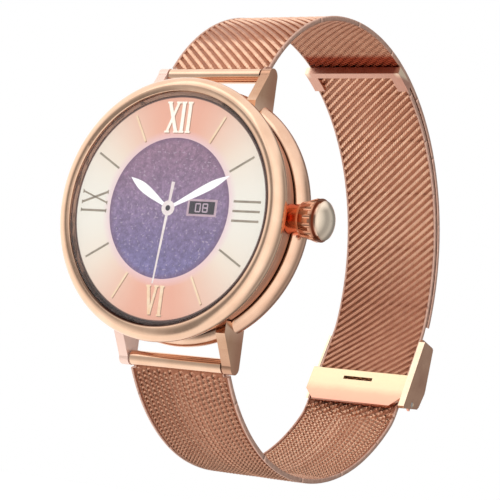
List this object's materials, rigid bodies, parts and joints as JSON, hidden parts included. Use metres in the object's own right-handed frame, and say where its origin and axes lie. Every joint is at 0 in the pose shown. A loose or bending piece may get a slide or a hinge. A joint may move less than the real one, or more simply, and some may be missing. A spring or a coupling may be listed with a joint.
{
  "type": "smartwatch",
  "caption": "Round smartwatch with a rose gold case, an analogue dial on its display, a fluted crown and a closed woven mesh strap with a folding clasp.",
  "frame": {"origin": "centre of the outer face of the cover glass", "axes": "+X towards 3 o'clock and the crown, +Y from the glass to the back of the watch, +Z towards 12 o'clock"},
  "size_m": [0.0474, 0.0783, 0.0796],
  "materials": {
    "gold_polished": "polished rose gold plating",
    "gold_satin": "satin rose gold band",
    "mesh": "woven fine wire, rose gold",
    "copper": "polished copper orange",
    "glass": "clear, flat",
    "display": null,
    "black": "matte black",
    "window": "dark tinted",
    "back": "satin dark grey",
    "steel": "bright",
    "board": "green circuit board",
    "cell": "foil pouch",
    "gold_contact": "gold plated",
    "flex": "amber polyimide"
  },
  "bodies": {
    "case": {"bezel_ring": "gold_polished", "cover_glass": "glass", "glass_gasket": "black", "display_panel": "display", "display_flex": "flex", "mid_case": "gold_satin", "inner_frame": "black", "battery": "cell", "main_board": "board", "board_chips": "black", "motor_can": "steel", "sensor_board": "board", "sensor_window": "window", "case_back": "back", "back_gasket": "black", "back_screws": "steel", "charge_contacts": "gold_contact", "crown_tube": "copper", "crown_seal": "black", "crown_switch": "black", "bar_top": "steel", "bar_low": "steel"},
    "rotor": {"motor_rotor": "steel"},
    "crown_carrier": {"crown_clip": "steel"},
    "crown": {"crown_knob": "gold_polished", "crown_stem": "steel"},
    "tip_top_right": {"tip_top_right": "steel"},
    "tip_top_left": {"tip_top_left": "steel"},
    "tip_low_right": {"tip_low_right": "steel"},
    "tip_low_left": {"tip_low_left": "steel"},
    "top_1": {"top_link_1": "mesh", "end_tube_top": "gold_polished"},
    "top_2": {"top_link_2": "mesh"},
    "top_3": {"top_link_3": "mesh"},
    "top_4": {"top_link_4": "mesh"},
    "top_5": {"top_link_5": "mesh"},
    "top_6": {"top_link_6": "mesh"},
    "top_7": {"top_link_7": "mesh"},
    "top_8": {"top_link_8": "mesh", "strap_tongue": "gold_polished"},
    "low_1": {"low_link_1": "mesh", "end_tube_low": "gold_polished"},
    "low_2": {"low_link_2": "mesh"},
    "low_3": {"low_link_3": "mesh"},
    "low_4": {"low_link_4": "mesh"},
    "low_5": {"low_link_5": "mesh"},
    "low_6": {"low_link_6": "mesh"},
    "low_7": {"low_link_7": "mesh"},
    "low_8": {"low_link_8": "mesh"},
    "low_9": {"low_link_9": "mesh"},
    "low_10": {"low_link_10": "mesh"},
    "low_11": {"low_link_11": "mesh", "tail_frame": "gold_polished"},
    "clasp_base": {"clasp_base": "gold_polished", "clasp_pin": "steel"},
    "clasp_cover": {"clasp_cover": "gold_polished"}
  },
  "joints": [
    {"name": "strap_open", "type": "hinge", "parent": "case", "child": "top_1", "pos_m": [0, 0.0094, 0.0232], "axis": [1, 0, 0], "range_deg": [0, 39]},
    {"name": "top_flex_1", "type": "hinge", "parent": "top_1", "child": "top_2", "pos_m": [0, 0.01812, 0.03305], "axis": [1, 0, 0], "range_deg": [0, 20]},
    {"name": "top_flex_2", "type": "hinge", "parent": "top_2", "child": "top_3", "pos_m": [0, 0.03013, 0.03844], "axis": [1, 0, 0], "range_deg": [0, 20]},
    {"name": "top_flex_3", "type": "hinge", "parent": "top_3", "child": "top_4", "pos_m": [0, 0.04309, 0.03901], "axis": [1, 0, 0], "range_deg": [0, 20]},
    {"name": "top_flex_4", "type": "hinge", "parent": "top_4", "child": "top_5", "pos_m": [0, 0.05553, 0.03532], "axis": [1, 0, 0], "range_deg": [0, 20]},
    {"name": "top_flex_5", "type": "hinge", "parent": "top_5", "child": "top_6", "pos_m": [0, 0.06609, 0.02779], "axis": [1, 0, 0], "range_deg": [0, 20]},
    {"name": "top_flex_6", "type": "hinge", "parent": "top_6", "child": "top_7", "pos_m": [0, 0.07362, 0.01723], "axis": [1, 0, 0], "range_deg": [0, 20]},
    {"name": "top_flex_7", "type": "hinge", "parent": "top_7", "child": "top_8", "pos_m": [0, 0.07731, 0.00479], "axis": [1, 0, 0], "range_deg": [0, 20]},
    {"name": "low_open", "type": "hinge", "parent": "case", "child": "low_1", "pos_m": [0, 0.0094, -0.0232], "axis": [-1, 0, 0], "range_deg": [0, 40]},
    {"name": "low_flex_1", "type": "hinge", "parent": "low_1", "child": "low_2", "pos_m": [0, 0.01812, -0.03305], "axis": [-1, 0, 0], "range_deg": [0, 17]},
    {"name": "low_flex_2", "type": "hinge", "parent": "low_2", "child": "low_3", "pos_m": [0, 0.03013, -0.03844], "axis": [-1, 0, 0], "range_deg": [0, 17]},
    {"name": "low_flex_3", "type": "hinge", "parent": "low_3", "child": "low_4", "pos_m": [0, 0.04354, -0.03895], "axis": [-1, 0, 0], "range_deg": [0, 17]},
    {"name": "low_flex_4", "type": "hinge", "parent": "low_4", "child": "low_5", "pos_m": [0, 0.05635, -0.03491], "axis": [-1, 0, 0], "range_deg": [0, 17]},
    {"name": "low_flex_5", "type": "hinge", "parent": "low_5", "child": "low_6", "pos_m": [0, 0.06704, -0.0268], "axis": [-1, 0, 0], "range_deg": [0, 17]},
    {"name": "low_flex_6", "type": "hinge", "parent": "low_6", "child": "low_7", "pos_m": [0, 0.07501, -0.00984], "axis": [-1, 0, 0], "range_deg": [0, 17]},
    {"name": "low_flex_7", "type": "hinge", "parent": "low_7", "child": "low_8", "pos_m": [0, 0.07629, 0.0008], "axis": [-1, 0, 0], "range_deg": [0, 17]},
    {"name": "low_flex_8", "type": "hinge", "parent": "low_8", "child": "low_9", "pos_m": [0, 0.07456, 0.01136], "axis": [-1, 0, 0], "range_deg": [0, 17]},
    {"name": "low_flex_9", "type": "hinge", "parent": "low_9", "child": "low_10", "pos_m": [0, 0.06995, 0.02103], "axis": [-1, 0, 0], "range_deg": [0, 17]},
    {"name": "low_flex_10", "type": "hinge", "parent": "low_10", "child": "low_11", "pos_m": [0, 0.06283, 0.02902], "axis": [-1, 0, 0], "range_deg": [0, 17]},
    {"name": "clasp_slide", "type": "slide", "parent": "low_6", "child": "clasp_base", "axis": [0, 0.4248, 0.9053], "range_m": [-0.0015, 0.0015]},
    {"name": "clasp_cover_hinge", "type": "hinge", "parent": "clasp_base", "child": "clasp_cover", "pos_m": [0, 0.07161, -0.0232], "axis": [-1, 0, 0], "range_deg": [0, 100]},
    {"name": "crown_press", "type": "slide", "parent": "case", "child": "crown_carrier", "axis": [-1, 0, 0], "range_m": [0, 0.0005], "stiffness_N_per_m": 400},
    {"name": "crown_turn", "type": "hinge", "parent": "crown_carrier", "child": "crown", "pos_m": [0.02, 0.0062, 0], "axis": [1, 0, 0], "continuous": true},
    {"name": "motor_spin", "type": "hinge", "parent": "case", "child": "rotor", "pos_m": [0, 0.0052, -0.0132], "axis": [1, 0, 0], "continuous": true},
    {"name": "tip_top_right_press", "type": "slide", "parent": "case", "child": "tip_top_right", "axis": [-1, 0, 0], "range_m": [0, 0.0012], "stiffness_N_per_m": 500},
    {"name": "tip_top_left_press", "type": "slide", "parent": "case", "child": "tip_top_left", "axis": [1, 0, 0], "range_m": [0, 0.0012], "stiffness_N_per_m": 500},
    {"name": "tip_low_right_press", "type": "slide", "parent": "case", "child": "tip_low_right", "axis": [-1, 0, 0], "range_m": [0, 0.0012], "stiffness_N_per_m": 500},
    {"name": "tip_low_left_press", "type": "slide", "parent": "case", "child": "tip_low_left", "axis": [1, 0, 0], "range_m": [0, 0.0012], "stiffness_N_per_m": 500}
  ],
  "couplings": [
    {"joint": "top_flex_1", "follows": "strap_open", "ratio": 0.48},
    {"joint": "top_flex_2", "follows": "strap_open", "ratio": 0.48},
    {"joint": "top_flex_3", "follows": "strap_open", "ratio": 0.48},
    {"joint": "top_flex_4", "follows": "strap_open", "ratio": 0.48},
    {"joint": "top_flex_5", "follows": "strap_open", "ratio": 0.48},
    {"joint": "top_flex_6", "follows": "strap_open", "ratio": 0.48},
    {"joint": "top_flex_7", "follows": "strap_open", "ratio": 0.48},
    {"joint": "low_open", "follows": "strap_open", "ratio": 1},
    {"joint": "low_flex_1", "follows": "strap_open", "ratio": 0.4},
    {"joint": "low_flex_2", "follows": "strap_open", "ratio": 0.4},
    {"joint": "low_flex_3", "follows": "strap_open", "ratio": 0.4},
    {"joint": "low_flex_4", "follows": "strap_open", "ratio": 0.4},
    {"joint": "low_flex_5", "follows": "strap_open", "ratio": 0.4},
    {"joint": "low_flex_6", "follows": "strap_open", "ratio": 0.4},
    {"joint": "low_flex_7", "follows": "strap_open", "ratio": 0.4},
    {"joint": "low_flex_8", "follows": "strap_open", "ratio": 0.4},
    {"joint": "low_flex_9", "follows": "strap_open", "ratio": 0.4},
    {"joint": "low_flex_10", "follows": "strap_open", "ratio": 0.4}
  ]
}
